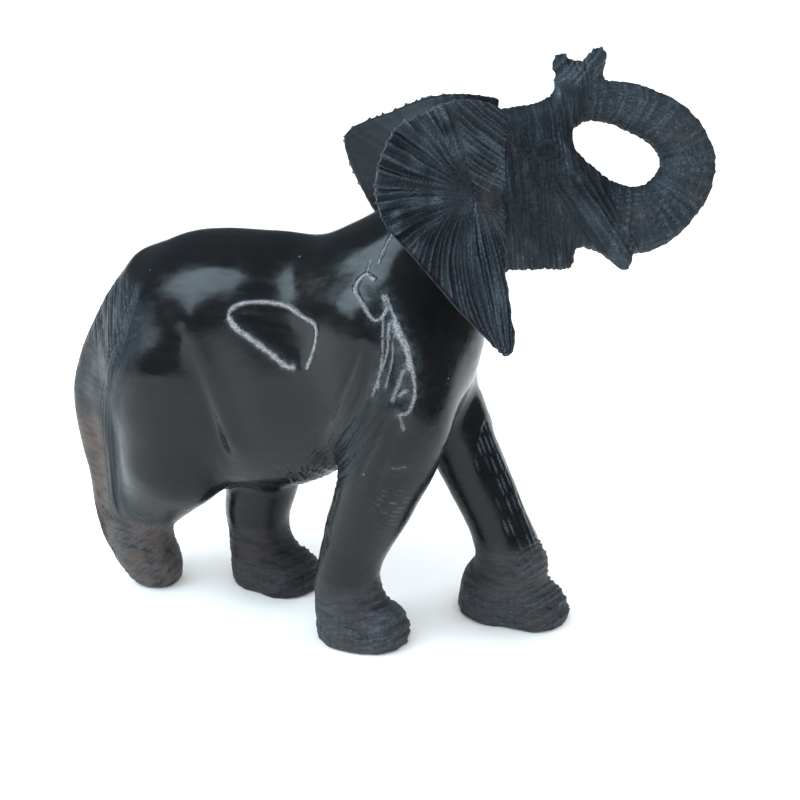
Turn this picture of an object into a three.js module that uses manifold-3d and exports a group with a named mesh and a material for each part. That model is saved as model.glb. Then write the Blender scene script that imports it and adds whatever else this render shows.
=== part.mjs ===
// Walking elephant carved in dark hardwood, trunk raised and curled back to the forehead.
// Millimetres, +X along the walk, +Y to the elephant's left, +Z up, soles on z = 0.
// The body (torso, legs and tail) and the head (skull, jaw and trunk) are two carvings that meet
// at a flat neck joint on two dowels. Each ear is a separate thin carving on two pegs.

import * as THREE from "three";
import { mergeVertices } from "three/addons/utils/BufferGeometryUtils.js";
import Module from "manifold-3d";

const wasm = await Module();
wasm.setup();

// ---- driving dimensions ----
const BODY_STEP = 4.9; // facet size on the body
const HEAD_STEP = 3; // facet size on the head
const TIP_STEP = 1.8; // facet size on the trunk tip
const GAP = 0.3; // clearance between pieces that touch
const STOCK = 3; // rough wood left past a flat face before it is trimmed
const TRIMMER = 400; // side of the blocks that trim flat faces
const PIN_SIDES = 12;

const STAND_AT = new THREE.Vector3(25.4, 1.6, 0); // centres the figure over the origin
const HEAD_AT = new THREE.Vector3(18, 2, 148); // head pivot, in the skull
const HEAD_TURN = THREE.MathUtils.degToRad(24); // to the left
const HEAD_TILT = THREE.MathUtils.degToRad(8); // left ear lower

const CHEEK = 19.5; // half width of the head at the flat ear seats
const JAW_BASE = -16.4; // flat underside of the jaw, in the head's frame
const JAW_ENDS = [6, 32]; // the flat underside runs between these
// the mouth is cut straight across between the jaw and the trunk, [along, up] in the head's frame
const MOUTH = [[28.6, -16.4], [27.4, -12], [28, -10], [29.8, -9.2], [33.4, -11], [37, -13.6], [37, -20],
  [28.6, -20]];

const NECK_POINT = new THREE.Vector3(-5, 0, -2); // middle of the neck joint, in the head's frame
const NECK_NORMAL = new THREE.Vector3(0.88, 0, 0.475).normalize();
const NECK_DOWEL = { radius: 3, length: 22, spread: 10 };

const EAR_DOWEL = { radius: 1.6, length: 11, spread: 8 };
const EAR_DOWEL_IN_EAR = 3.4;
const EAR_PEGS = new THREE.Vector2(-4, 9); // middle of the two pegs, [along, up]

// ---- implicit forms: each is a function of (x, y, z), negative inside ----
const blendTwo = (a, b, k) => {
  const h = Math.max(k - Math.abs(a - b), 0) / k;
  return Math.min(a, b) - (h * h * k) / 4;
};

// forms joined by fillets of about k
const blend = (k, ...forms) => (x, y, z) =>
  forms.slice(1).reduce((d, form) => blendTwo(d, form(x, y, z), k), forms[0](x, y, z));

const union = (...forms) => (x, y, z) => Math.min(...forms.map((form) => form(x, y, z)));

const common = (...forms) => (x, y, z) => Math.max(...forms.map((form) => form(x, y, z)));

const ellipsoid = ([cx, cy, cz], [rx, ry, rz]) => (x, y, z) => {
  const px = (x - cx) / rx;
  const py = (y - cy) / ry;
  const pz = (z - cz) / rz;
  const scaled = Math.hypot(px, py, pz);
  const slope = Math.hypot(px / rx, py / ry, pz / rz);
  return slope > 0 ? (scaled * (scaled - 1)) / slope : -Math.min(rx, ry, rz);
};

// a bar between two spheres [x, y, z, radius]
const bar = ([ax, ay, az, ra], [bx, by, bz, rb]) => {
  const dx = bx - ax;
  const dy = by - ay;
  const dz = bz - az;
  const squared = dx * dx + dy * dy + dz * dz;
  return (x, y, z) => {
    const along = ((x - ax) * dx + (y - ay) * dy + (z - az) * dz) / squared;
    const t = Math.min(Math.max(along, 0), 1);
    return Math.hypot(x - ax - dx * t, y - ay - dy * t, z - az - dz * t) - ra - (rb - ra) * t;
  };
};

// a limb on one smooth line through stations [x, y, z, radius]
const BARS_PER_STATION = 4;
const limb = (...stations) => {
  const line = new THREE.CatmullRomCurve3(stations.map(([x, y, z]) => new THREE.Vector3(x, y, z)));
  const count = stations.length - 1;
  const spheres = [];
  for (let i = 0; i <= count * BARS_PER_STATION; i += 1) {
    const place = i / BARS_PER_STATION;
    const before = Math.min(Math.floor(place), count - 1);
    const radius = THREE.MathUtils.lerp(stations[before][3], stations[before + 1][3], place - before);
    spheres.push([...line.getPoint(place / count).toArray(), radius]);
  }
  return union(...spheres.slice(1).map((sphere, i) => bar(spheres[i], sphere)));
};

const halfSpace = (point, direction) => (x, y, z) =>
  (x - point.x) * direction.x + (y - point.y) * direction.y + (z - point.z) * direction.z;

const seenFrom = (matrix, form) => {
  const p = new THREE.Vector3();
  return (x, y, z) => {
    p.set(x, y, z).applyMatrix4(matrix);
    return form(p.x, p.y, p.z);
  };
};

// ---- the head's frame: x forward, y to its left, z up ----
const headFrame = new THREE.Matrix4().compose(
  HEAD_AT,
  new THREE.Quaternion().setFromEuler(new THREE.Euler(-HEAD_TILT, 0, HEAD_TURN, "ZYX")),
  new THREE.Vector3(1, 1, 1),
);
const headFrameInverse = headFrame.clone().invert();

// ---- body ----
function torsoForm() {
  return blend(16,
    ellipsoid([-50, 0, 96], [50, 28, 40]),
    ellipsoid([-82.5, 0, 94], [32.5, 27, 36.8]),
    ellipsoid([-11, 0, 104], [28, 25, 34]),
    ellipsoid([-62, 0, 75], [36, 23, 31]));
}

function neckForm() {
  return limb([-12, 0, 114, 26], [3, 2, 134.5, 21.5], [12, 3, 150, 19]);
}

function rightFrontLeg() {
  const shaft = limb([-4, -13, 112, 20], [-3, -15, 84, 18], [-8.5, -16, 60, 14.2],
    [-18, -16, 36, 11.2], [-22, -15.5, 22, 10.6]);
  const foot = union(
    limb([-20.5, -15, 11, 12.4], [-18.5, -16, -1, 13.2]),
    limb([-18.5, -16, 1, 13], [-12.5, -14.5, 1, 13.4]));
  return blend(5, shaft, foot);
}

function leftFrontLeg() {
  const shaft = limb([-8, 13, 102, 17], [0, 16, 80, 13.6], [10, 18, 58, 11.6],
    [20.6, 18, 37, 10.6], [27.5, 18.5, 20, 11.8]);
  const foot = union(
    limb([21.5, 19.5, 9, 13.4], [20.5, 20, 0, 14]),
    limb([21, 20, 1, 13.6], [33.5, 20.5, 1, 13.6]));
  return blend(5, shaft, foot);
}

function leftHindLeg() {
  const shaft = limb([-75, 11, 82, 21.5], [-65.5, 9, 50, 14.4], [-68.5, 7, 28, 12]);
  const foot = union(
    limb([-67.5, 7, 14, 12], [-65.5, 7, 0, 12.8]),
    limb([-65, 7, 3, 12.8], [-57, 6, 2.5, 13.2]));
  return blend(5, shaft, foot);
}

function rightHindLeg() {
  const thigh = limb([-86, -9, 86, 27], [-88, -13, 60, 20]);
  const buttock = limb([-102, -4, 97, 15.5], [-110, -6, 78, 15], [-109, -8, 58, 13], [-108, -10, 40, 11]);
  const shank = limb([-88, -14, 52, 17], [-106, -12, 30, 12]);
  const foot = limb([-108, -12, 20, 10.2], [-104, -11, 10, 10.4], [-102, -10, 4, 9]);
  return blend(7, thigh, buttock, shank, foot);
}

// the tail lies along the hind leg and ends in a tuft above the raised heel
function tailForm() {
  return limb([-100, 0, 114, 11], [-115, -3, 96, 9], [-124.5, -6, 75, 8.5], [-124, -8, 57, 7.8],
    [-121, -9, 41, 7.2], [-118.5, -11, 27, 7.2], [-111.5, -12, 14, 7.2], [-106, -11, 8.5, 7.2]);
}

const bodyForm = () => blend(6,
  blend(14, torsoForm(), neckForm()),
  rightFrontLeg(), leftFrontLeg(), leftHindLeg(), rightHindLeg(), tailForm());

// ---- head, in its own frame ----
function skullForm() {
  const skull = ellipsoid([4, 0, 10], [20, 17, 19.8]);
  const face = limb([12, 0, 16.5, 13.4], [25, 0, 5, 12]);
  const jaw = limb([8, 0, -6, 12.4], [19.5, 0, -10.5, 10]);
  const cheeks = [-13, 13].map((y) => ellipsoid([-3, y, 9], [13, 9, 17]));
  return blend(8, skull, face, jaw, blend(4, ...cheeks));
}

function tuskSheath(side) {
  return limb([27, side * 9, 8, 6.6], [35.5, side * 10, -4, 5.2], [42, side * 10.5, -12.6, 3.6]);
}

function trunkForm() {
  const loop = limb([24, 0, 3.2, 11.8], [30, 0, 1.2, 10.8], [36, 0, -0.6, 11], [48.5, 0, -2, 10.1],
    [58, 0, 4.2, 9.1], [62.3, 0, 14, 8.4], [57.7, 0, 24.3, 7.9], [46.2, 0, 31, 7.1], [37, 0, 33.4, 6.1],
    [28.5, 0, 34.3, 6.1]);
  const bridge = limb([27, 0, 33.6, 5.6], [18, 0, 25.5, 7]);
  return blend(3, loop, bridge);
}

// two fingers with a notch between them
function trunkTipForm() {
  const stem = limb([28.4, 0, 33.5, 6.2], [28, 0, 38.4, 6.6]);
  const upperFinger = limb([26, 0, 40, 4.6], [23, 0, 44.4, 3.2]);
  const lowerFinger = limb([31, 0, 40, 4.4], [33.8, 0, 46.8, 2.6]);
  return blend(1.5, stem, upperFinger, lowerFinger);
}

const headForm = () => blend(5, skullForm(), trunkForm(), tuskSheath(-1), tuskSheath(1));

// ---- polygons: in each grid cell one vertex for each sheet of surface that crosses it ----
const AXES = [0, 1, 2];
const RING = [[0, 0], [1, 0], [1, 1], [0, 1]];
const EDGES = 12;
const edgeOf = (axis, p, q) => axis * 4 + p * 2 + q;

function polygonise(form, lowest, highest, step) {
  const count = highest.map((end, axis) => Math.ceil((end - lowest[axis]) / step) + 1);
  const stride = [1, count[0], count[0] * count[1]];
  const value = new Float64Array(count[0] * count[1] * count[2]);
  const cellAt = (index) => AXES.map((axis) => Math.floor(index / stride[axis]) % count[axis]);
  for (let index = 0; index < value.length; index += 1) {
    value[index] = form(...cellAt(index).map((cell, axis) => lowest[axis] + cell * step));
  }
  const vertices = [];
  const vertexOf = new Map();
  for (let index = 0; index < value.length; index += 1) {
    const cell = cellAt(index);
    if (AXES.some((axis) => cell[axis] === count[axis] - 1)) continue;
    for (const edges of sheets(value, index, stride)) {
      const point = new THREE.Vector3();
      for (const { at } of edges) point.add(at);
      point.divideScalar(edges.length).add(new THREE.Vector3(...cell));
      point.multiplyScalar(step).add(new THREE.Vector3(...lowest));
      drawOnto(form, point, step / 2);
      for (const { id } of edges) vertexOf.set(index * EDGES + id, vertices.length / 3);
      vertices.push(point.x, point.y, point.z);
    }
  }
  const indices = [];
  for (let index = 0; index < value.length; index += 1) {
    for (const axis of AXES) {
      const ahead = index + stride[axis];
      const inside = value[index] < 0;
      if (ahead >= value.length || inside === value[ahead] < 0) continue;
      const [b, c] = [stride[(axis + 1) % 3], stride[(axis + 2) % 3]];
      const corners = RING.map(([p, q]) =>
        vertexOf.get((index - p * b - q * c) * EDGES + edgeOf(axis, p, q)));
      const [v0, v1, v2, v3] = inside ? corners.reverse() : corners;
      indices.push(v0, v2, v1, v0, v3, v2);
    }
  }
  return meshOf(vertices, indices);
}

function meshOf(vertices, indices) {
  const geometry = new THREE.BufferGeometry();
  geometry.setAttribute("position", new THREE.Float32BufferAttribute(vertices, 3));
  geometry.setIndex(indices);
  return geometry;
}

// the crossed edges of a cell, grouped into the separate sheets of surface that they belong to
function sheets(value, index, stride) {
  const valueAt = (corner) => value[AXES.reduce((sum, axis) => sum + corner[axis] * stride[axis], index)];
  const crossed = new Map();
  for (const axis of AXES) {
    for (const [p, q] of RING) {
      const from = [0, 0, 0];
      from[(axis + 1) % 3] = p;
      from[(axis + 2) % 3] = q;
      const to = [...from];
      to[axis] = 1;
      const [start, end] = [valueAt(from), valueAt(to)];
      if (start < 0 === end < 0) continue;
      const at = new THREE.Vector3(...from).lerp(new THREE.Vector3(...to), start / (start - end));
      const id = edgeOf(axis, p, q);
      crossed.set(id, { id, at, group: id });
    }
  }
  if (!crossed.size) return [];
  const join = (a, b) => {
    const [keep, drop] = [crossed.get(a).group, crossed.get(b).group];
    for (const edge of crossed.values()) if (edge.group === drop) edge.group = keep;
  };
  for (const axis of AXES) {
    const [b, c] = [(axis + 1) % 3, (axis + 2) % 3];
    for (const side of [0, 1]) {
      const alongB = [0, 1].map((q) => edgeOf(b, q, side));
      const alongC = [0, 1].map((p) => edgeOf(c, side, p));
      const cut = [...alongB, ...alongC].filter((id) => crossed.has(id));
      if (cut.length === 2) join(cut[0], cut[1]);
      if (cut.length !== 4) continue;
      for (const [p, q] of RING) {
        const corner = [0, 0, 0];
        corner[axis] = side;
        corner[b] = p;
        corner[c] = q;
        if (valueAt(corner) < 0) join(alongB[q], alongC[p]);
      }
    }
  }
  const groups = new Map();
  for (const edge of crossed.values()) {
    groups.set(edge.group, [...(groups.get(edge.group) ?? []), edge]);
  }
  return [...groups.values()];
}

// moves a point onto the surface in a few Newton steps, by no more than reach
function drawOnto(form, point, reach) {
  const probe = 0.05;
  const leastSlope = 0.1;
  const passes = 4;
  const start = point.clone();
  for (let pass = 0; pass < passes; pass += 1) {
    const { x, y, z } = point;
    const slope = new THREE.Vector3(
      form(x + probe, y, z) - form(x - probe, y, z),
      form(x, y + probe, z) - form(x, y - probe, z),
      form(x, y, z + probe) - form(x, y, z - probe),
    ).divideScalar(2 * probe);
    point.addScaledVector(slope, -form(x, y, z) / Math.max(slope.lengthSq(), leastSlope));
  }
  if (point.distanceTo(start) > reach) point.sub(start).setLength(reach).add(start);
}

// ---- joins and cuts ----
function toSolid(geometry) {
  const bare = geometry.clone();
  bare.deleteAttribute("normal");
  bare.deleteAttribute("uv");
  const merged = mergeVertices(bare, 1e-4);
  return new wasm.Manifold(new wasm.Mesh({
    numProp: 3,
    vertProperties: new Float32Array(merged.attributes.position.array),
    triVerts: new Uint32Array(merged.index.array),
  }));
}

function toGeometry(solid) {
  const { vertProperties, triVerts } = solid.getMesh();
  return meshOf(vertProperties, [...triVerts]);
}

const pointing = (direction) =>
  new THREE.Quaternion().setFromUnitVectors(new THREE.Vector3(0, 0, 1), direction);

// cuts away everything behind the point, as seen along the direction
function trim(solid, point, direction) {
  const block = new THREE.BoxGeometry(TRIMMER, TRIMMER, TRIMMER).translate(0, 0, -TRIMMER / 2);
  block.applyQuaternion(pointing(direction)).translate(point.x, point.y, point.z);
  return solid.subtract(toSolid(block));
}

// a round pin with chamfered ends
function pinGeometry(start, direction, radius, length) {
  const chamfer = radius / 4;
  const profile = [[0, 0], [radius - chamfer, 0], [radius, chamfer], [radius, length - chamfer],
    [radius - chamfer, length], [0, length]];
  const pin = new THREE.LatheGeometry(profile.map(([r, z]) => new THREE.Vector2(r, z)), PIN_SIDES);
  pin.rotateX(Math.PI / 2).applyQuaternion(pointing(direction));
  return pin.translate(start.x, start.y, start.z);
}

// ---- dowels: each has its middle on a joint face, and reaches back from it and ahead of it ----
function dowelPair(label, joint, direction, across, size, ahead) {
  return ["upper", "lower"].map((name, index) => ({
    name: `${label}_dowel_${name}`,
    start: joint.clone()
      .addScaledVector(across, index ? -size.spread : size.spread)
      .addScaledVector(direction, ahead - size.length),
    direction,
    size,
  }));
}

const neckDowels = dowelPair("neck", NECK_POINT, NECK_NORMAL,
  new THREE.Vector3(-NECK_NORMAL.z, 0, NECK_NORMAL.x), NECK_DOWEL, NECK_DOWEL.length / 2);

const earDowels = (label, side) => dowelPair(label,
  new THREE.Vector3(EAR_PEGS.x, side * CHEEK, EAR_PEGS.y), new THREE.Vector3(0, side, 0),
  new THREE.Vector3(0, 0, 1), EAR_DOWEL, EAR_DOWEL_IN_EAR);

const dowelGeometry = ({ start, direction, size }) =>
  pinGeometry(start, direction, size.radius, size.length);

function drill(solid, dowels) {
  return dowels.reduce((left, { start, direction, size }) => {
    const from = start.clone().addScaledVector(direction, -GAP);
    return left.subtract(toSolid(
      pinGeometry(from, direction, size.radius + GAP, size.length + 2 * GAP)));
  }, solid);
}

// ---- ears ----
// An ear is a thin shell of rays from its hub to its rim, flat on the seat near the hub and
// curving outwards past it. Rim points are [along, up] in the head's frame.
const EAR_HUB = new THREE.Vector2(-4, 8);
const EAR_RAYS = 58;
const EAR_RINGS = 7;
const EAR_THICK = 5.2; // at the hub
const EAR_THIN = 3.6; // at the rim
const EAR_THINS_OVER = 40;
const EAR_FLAT = 13; // reach of the flat seat
const EAR_CURL = 18; // how gently the flare starts
const EAR_HALF = 30; // from the hub to the rear or the lobe
const LEAST_FLARE = 0.35;

// both ears have the same front edge and lobe; the left one is swept back to a high corner
const EAR_LOBE = [[-9.6, -24], [2.4, -36.4], [5.6, -38.6], [7.6, -35], [6.1, -24.5], [5.2, -17], [5, -10],
  [4.6, -2], [4.6, 10], [4, 20]];
const RIGHT_EAR = {
  side: -1,
  flare: 13,
  lobeFlare: 0.3,
  rim: [[4.6, 30.6], [-2.4, 33.9], [-10.9, 34.2], [-18, 31], [-26, 27.6], [-30, 22],
    [-32.8, 11.5], [-30.6, 1], [-22.2, -9], ...EAR_LOBE],
};
const LEFT_EAR = {
  side: 1,
  flare: 20,
  lobeFlare: 0.6,
  rim: [[7, 34], [4, 34.5], [-6, 35.5], [-16, 34.4], [-28, 29.6], [-38, 25.6], [-43, 22],
    [-41, 12], [-36, 2], [-29, -8], ...EAR_LOBE],
};

const fromHub = (u, v) => Math.hypot(u - EAR_HUB.x, v - EAR_HUB.y);

function earRim(ear) {
  const points = ear.rim.map(([u, v]) => new THREE.Vector3(u, v, 0));
  const curve = new THREE.CatmullRomCurve3(points, true, "centripetal");
  return curve.getSpacedPoints(EAR_RAYS).slice(0, EAR_RAYS);
}

// how far the inner face stands out from the seat
function earFlare({ flare, lobeFlare }, u, v) {
  const past = Math.max(fromHub(u, v) - EAR_FLAT, 0);
  const rear = Math.max(0, (EAR_HUB.x - u) / EAR_HALF);
  const low = Math.min(Math.max(0, (EAR_HUB.y - v) / EAR_HALF), 1);
  return flare * (1 - Math.exp(-past / EAR_CURL)) * (LEAST_FLARE + rear + lobeFlare * low);
}

// the ear's shell, or with grow the same shell larger all round, to cut its bed into the body
function earShell(ear, grow = 0) {
  const rim = earRim(ear);
  const vertices = [];
  const addFace = (offset) => {
    const add = (u, v) => {
      const out = CHEEK + GAP + earFlare(ear, u, v) + offset(Math.min(fromHub(u, v) / EAR_THINS_OVER, 1));
      vertices.push(u, ear.side * out, v);
    };
    add(EAR_HUB.x, EAR_HUB.y);
    for (let ring = 1; ring <= EAR_RINGS; ring += 1) {
      for (const { x, y } of rim) {
        const t = (ring / EAR_RINGS) * (1 + grow / fromHub(x, y));
        add(EAR_HUB.x + (x - EAR_HUB.x) * t, EAR_HUB.y + (y - EAR_HUB.y) * t);
      }
    }
  };
  addFace(() => -grow);
  addFace((thinning) => EAR_THICK - (EAR_THICK - EAR_THIN) * thinning + grow);
  const indices = [];
  const outer = vertices.length / 6;
  const triangle = (flip, a, b, c) => indices.push(...(flip ? [a, c, b] : [a, b, c]));
  const quad = (flip, a, b, c, d) => {
    triangle(flip, a, b, c);
    triangle(flip, a, c, d);
  };
  const right = ear.side < 0;
  for (let ray = 0; ray < EAR_RAYS; ray += 1) {
    const next = (ray + 1) % EAR_RAYS;
    const on = (ring, place) => 1 + ring * EAR_RAYS + place;
    for (const [face, flip] of [[0, right], [outer, !right]]) {
      triangle(flip, face, face + on(0, ray), face + on(0, next));
      for (let ring = 1; ring < EAR_RINGS; ring += 1) {
        quad(flip, face + on(ring - 1, ray), face + on(ring, ray),
          face + on(ring, next), face + on(ring - 1, next));
      }
    }
    const last = EAR_RINGS - 1;
    quad(right, on(last, ray), outer + on(last, ray), outer + on(last, next), on(last, next));
  }
  return toSolid(meshOf(vertices, indices));
}

const earGeometry = (ear) => toGeometry(drill(earShell(ear), earDowels("ear", ear.side)));

// ---- body and head ----
const SKULL_FILLET = 12; // where the neck meets the head

function bodyGeometry() {
  const joint = NECK_POINT.clone().applyMatrix4(headFrame);
  const upward = NECK_NORMAL.clone().transformDirection(headFrame);
  const stock = halfSpace(joint.clone().addScaledVector(upward, STOCK), upward);
  const form = common(blend(SKULL_FILLET, bodyForm(), seenFrom(headFrameInverse, skullForm())), stock);
  let solid = toSolid(polygonise(form, [-146, -48, -20], [66, 52, 190], BODY_STEP));
  solid = trim(solid, new THREE.Vector3(0, 0, 0), new THREE.Vector3(0, 0, 1));
  solid = trim(solid, joint, upward.negate()).transform(headFrameInverse.toArray());
  solid = drill(solid, neckDowels);
  for (const ear of [RIGHT_EAR, LEFT_EAR]) solid = solid.subtract(earShell(ear, GAP));
  const bySize = solid.decompose().sort((a, b) => b.volume() - a.volume());
  return toGeometry(bySize[0].transform(headFrame.toArray()));
}

function headGeometry() {
  const joint = NECK_POINT.clone().addScaledVector(NECK_NORMAL, GAP);
  const backward = NECK_NORMAL.clone().negate();
  const stock = halfSpace(joint.clone().addScaledVector(backward, STOCK), backward);
  const form = common(blend(SKULL_FILLET, headForm(), seenFrom(headFrame, neckForm())), stock);
  let solid = toSolid(polygonise(form, [-44, -40, -44], [82, 40, 60], HEAD_STEP));
  solid = solid.add(toSolid(polygonise(trunkTipForm(), [14, -12, 24], [42, 12, 56], TIP_STEP)));
  solid = trim(solid, joint, NECK_NORMAL);
  const [jawBack, jawFront] = JAW_ENDS;
  const belowJaw = new THREE.BoxGeometry(jawFront - jawBack, TRIMMER, TRIMMER);
  belowJaw.translate((jawBack + jawFront) / 2, 0, JAW_BASE - TRIMMER / 2);
  const mouth = new THREE.ExtrudeGeometry(
    new THREE.Shape(MOUTH.map(([u, v]) => new THREE.Vector2(u, v))), { depth: TRIMMER, bevelEnabled: false });
  mouth.translate(0, 0, -TRIMMER / 2).rotateX(Math.PI / 2);
  for (const cutter of [belowJaw, mouth]) solid = solid.subtract(toSolid(cutter));
  for (const side of [-1, 1]) {
    solid = trim(solid, new THREE.Vector3(0, side * CHEEK, 0), new THREE.Vector3(0, -side, 0));
    solid = drill(solid, earDowels("ear", side));
  }
  return toGeometry(drill(solid, neckDowels));
}

// ---- assembly ----
const POLISHED = { color: 0x17181b, roughness: 0.25, metalness: 0 };
const CARVED = { color: 0x343941, roughness: 0.8, metalness: 0 };
const DOWEL = { color: 0x8a6a45, roughness: 0.7, metalness: 0 };

function piece(name, geometry, finish) {
  const mesh = new THREE.Mesh(geometry, new THREE.MeshStandardMaterial(finish));
  mesh.name = name;
  return mesh;
}

const elephant = new THREE.Group();
elephant.position.copy(STAND_AT);
elephant.add(piece("body", bodyGeometry(), POLISHED));

const headGroup = new THREE.Group();
headGroup.applyMatrix4(headFrame);
headGroup.add(piece("head", headGeometry(), CARVED));
headGroup.add(piece("right_ear", earGeometry(RIGHT_EAR), CARVED));
headGroup.add(piece("left_ear", earGeometry(LEFT_EAR), CARVED));
for (const dowel of [...neckDowels, ...earDowels("right_ear", -1), ...earDowels("left_ear", 1)]) {
  headGroup.add(piece(dowel.name, dowelGeometry(dowel), DOWEL));
}
elephant.add(headGroup);

export default elephant;
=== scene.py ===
import itertools
import math

import bmesh
import bpy
import numpy as np
from mathutils import Euler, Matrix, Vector


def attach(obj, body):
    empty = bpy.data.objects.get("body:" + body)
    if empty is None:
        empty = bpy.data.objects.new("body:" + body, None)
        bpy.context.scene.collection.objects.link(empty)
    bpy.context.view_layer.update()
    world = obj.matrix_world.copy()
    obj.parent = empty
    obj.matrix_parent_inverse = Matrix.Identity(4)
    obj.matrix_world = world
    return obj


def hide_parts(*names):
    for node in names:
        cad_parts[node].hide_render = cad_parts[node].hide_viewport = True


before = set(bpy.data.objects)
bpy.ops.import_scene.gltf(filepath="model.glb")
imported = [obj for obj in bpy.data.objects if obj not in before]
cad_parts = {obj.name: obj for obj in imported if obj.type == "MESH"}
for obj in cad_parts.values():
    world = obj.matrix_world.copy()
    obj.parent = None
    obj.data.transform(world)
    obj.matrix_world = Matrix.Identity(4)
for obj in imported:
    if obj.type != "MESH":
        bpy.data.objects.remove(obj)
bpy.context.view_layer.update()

scene = bpy.context.scene

# Walking elephant carved in dark hardwood. Polished back, flanks and legs; tool-cut head, trunk,
# ears, tail and feet. Each carved piece is its CAD solid, remeshed, smoothed and cut again.
# Shapes below are worked out in millimetres in the row frame: +X along the walk, +Y to the
# elephant's left, +Z up, soles on z = 0. The finished meshes are in metres.
MM = 0.001

# ---- the head's own frame: u forward, w to its left, v up ----
HEAD_AT = np.array([43.4, 3.6, 148.0])
HEAD_TURN = math.radians(24)
HEAD_TILT = math.radians(8)
HEAD_AXES = np.array(Euler((-HEAD_TILT, 0, HEAD_TURN), "XYZ").to_matrix())
NECK_POINT = np.array([-5.0, 0.0, -2.0])
NECK_NORMAL = np.array([0.88, 0.0, 0.475])


def to_head(points):
    return (points - HEAD_AT) @ HEAD_AXES


# ---- smooth random values, the same on every run ----
LATTICE_SIZE = 64
LATTICE_SEED = 11
LATTICE = np.random.default_rng(LATTICE_SEED).random((LATTICE_SIZE,) * 3)


def ease(t):
    t = np.clip(t, 0, 1)
    return t * t * (3 - 2 * t)


def ramp(value, start, end):
    """0 before start, 1 after end, and smooth between them."""
    return ease((value - start) / (end - start))


def band(value, start, end, soft):
    """1 from start to end, and smooth to 0 within soft of each."""
    return ramp(value, start - soft, start + soft) * ramp(value, end + soft, end - soft)


def hump(value, width):
    """1 at 0, falling off on both sides: 0.37 at width."""
    return np.exp(-(value / width) ** 2)


def pick(*whole):
    """One random value from 0 to 1 for each set of three whole numbers."""
    i, j, k = (np.asarray(value).astype(int) % LATTICE_SIZE for value in whole)
    return LATTICE[i, j, k]


def field(*coordinates):
    """Smooth random values from 0 to 1, about one swell for each unit of the three coordinates."""
    p = np.stack(np.broadcast_arrays(*coordinates), 1)
    cell = np.floor(p).astype(int)
    part = ease(p - cell)
    total = np.zeros(len(p))
    for corner in itertools.product((0, 1), repeat=3):
        weight = np.prod(np.where(corner, part, 1 - part), axis=1)
        total += weight * pick(*(cell + corner).T)
    return total


LEVEL = 0.6  # about the mean of gouges, so that (gouges - LEVEL) cuts in and stands out alike


def gouges(across, along, pitch, length, seed):
    """Round cuts of uneven width side by side: 1 on the sharp ridges between them, less down the
    middle of each. They wander, and each one grows deeper and shallower over about length."""
    wander = 1.7 * field(across / (4 * pitch), along / (2 * length), seed + 0.5)
    wander += 0.5 * field(across / pitch, 2 * along / length, seed + 7.5)
    place = across / pitch + wander

    def edge(number):
        return number + 0.75 * (pick(number, seed, 1) - 0.5)

    cut = np.floor(place)
    cut = cut - (place < edge(cut)) + (place >= edge(cut + 1))
    part = (place - edge(cut)) / (edge(cut + 1) - edge(cut))
    depth = ramp(field(cut * 7.3, along / length + 9 * pick(cut, seed, 3), seed + 0.5), 0.15, 0.75)
    return 1 - (0.15 + 0.85 * depth) * (1 - (2 * part - 1) ** 2)


def nicks(across, along, gap_across, gap_along, width, length, seed):
    """Short cuts in broken rows: 1 in the middle of each cut, 0 off it."""
    row = np.floor(along / gap_along)
    place = across / gap_across + pick(row, seed, 5)
    column = np.floor(place)
    shift_across = 0.5 * (pick(row, column, seed) - 0.5)
    shift_along = 0.3 * (pick(row, column, seed + 1) - 0.5)
    off_across = (place - column - 0.5 - shift_across) * gap_across
    off_along = (along / gap_along - row - 0.5 - shift_along) * gap_along
    inside = 1 - (2 * off_across / width) ** 2 - (2 * off_along / length) ** 2
    return np.sqrt(np.clip(inside, 0, 1)) * ease(1.5 * pick(row, column, seed + 2) - 0.2)


LINE_STEPS = 5  # straight runs between two stations


class Line:
    """A smooth line through stations in a plane."""

    def __init__(self, *stations):
        knots = np.array(stations, float)
        ends = np.vstack([2 * knots[0] - knots[1], knots, 2 * knots[-1] - knots[-2]])
        t = np.arange(LINE_STEPS)[:, None] / LINE_STEPS
        parts = []
        for p0, p1, p2, p3 in zip(ends, ends[1:], ends[2:], ends[3:]):
            bend = 2 * p0 - 5 * p1 + 4 * p2 - p3
            twist = 3 * (p1 - p2) + p3 - p0
            parts.append(p1 + 0.5 * t * (p2 - p0 + t * (bend + t * twist)))
        self.points = np.vstack(parts + [knots[-1:]])
        runs = np.linalg.norm(np.diff(self.points, axis=0), axis=1)
        self.places = np.concatenate([[0], np.cumsum(runs)])
        self.length = self.places[-1]

    def measure(self, a, b):
        """How far points are off the line, how far along it, and to which side: + on its left."""
        off = np.full(len(a), np.inf)
        along = np.zeros(len(a))
        side = np.ones(len(a))
        runs = zip(self.points, self.points[1:], self.places, self.places[1:])
        for start, end, begin, finish in runs:
            run_a, run_b = end - start
            da, db = a - start[0], b - start[1]
            length = finish - begin
            t = np.clip((da * run_a + db * run_b) / length ** 2, 0, 1)
            distance = np.hypot(da - run_a * t, db - run_b * t)
            nearer = distance < off
            off[nearer] = distance[nearer]
            along[nearer] = (begin + length * t)[nearer]
            side[nearer] = np.sign(run_a * db - run_b * da)[nearer]
        return off, along, side * off


# ---- meshes ----
WELD = 0.001  # mm


def close_mesh(node, voxel):
    """A copy of a CAD node's mesh, closed up and remeshed evenly at the voxel size in mm."""
    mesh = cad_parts[node].data.copy()
    welded = bmesh.new()
    welded.from_mesh(mesh)
    bmesh.ops.remove_doubles(welded, verts=welded.verts, dist=WELD * MM)
    welded.to_mesh(mesh)
    welded.free()
    return modified(mesh, "REMESH", mode="VOXEL", voxel_size=voxel * MM)


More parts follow.
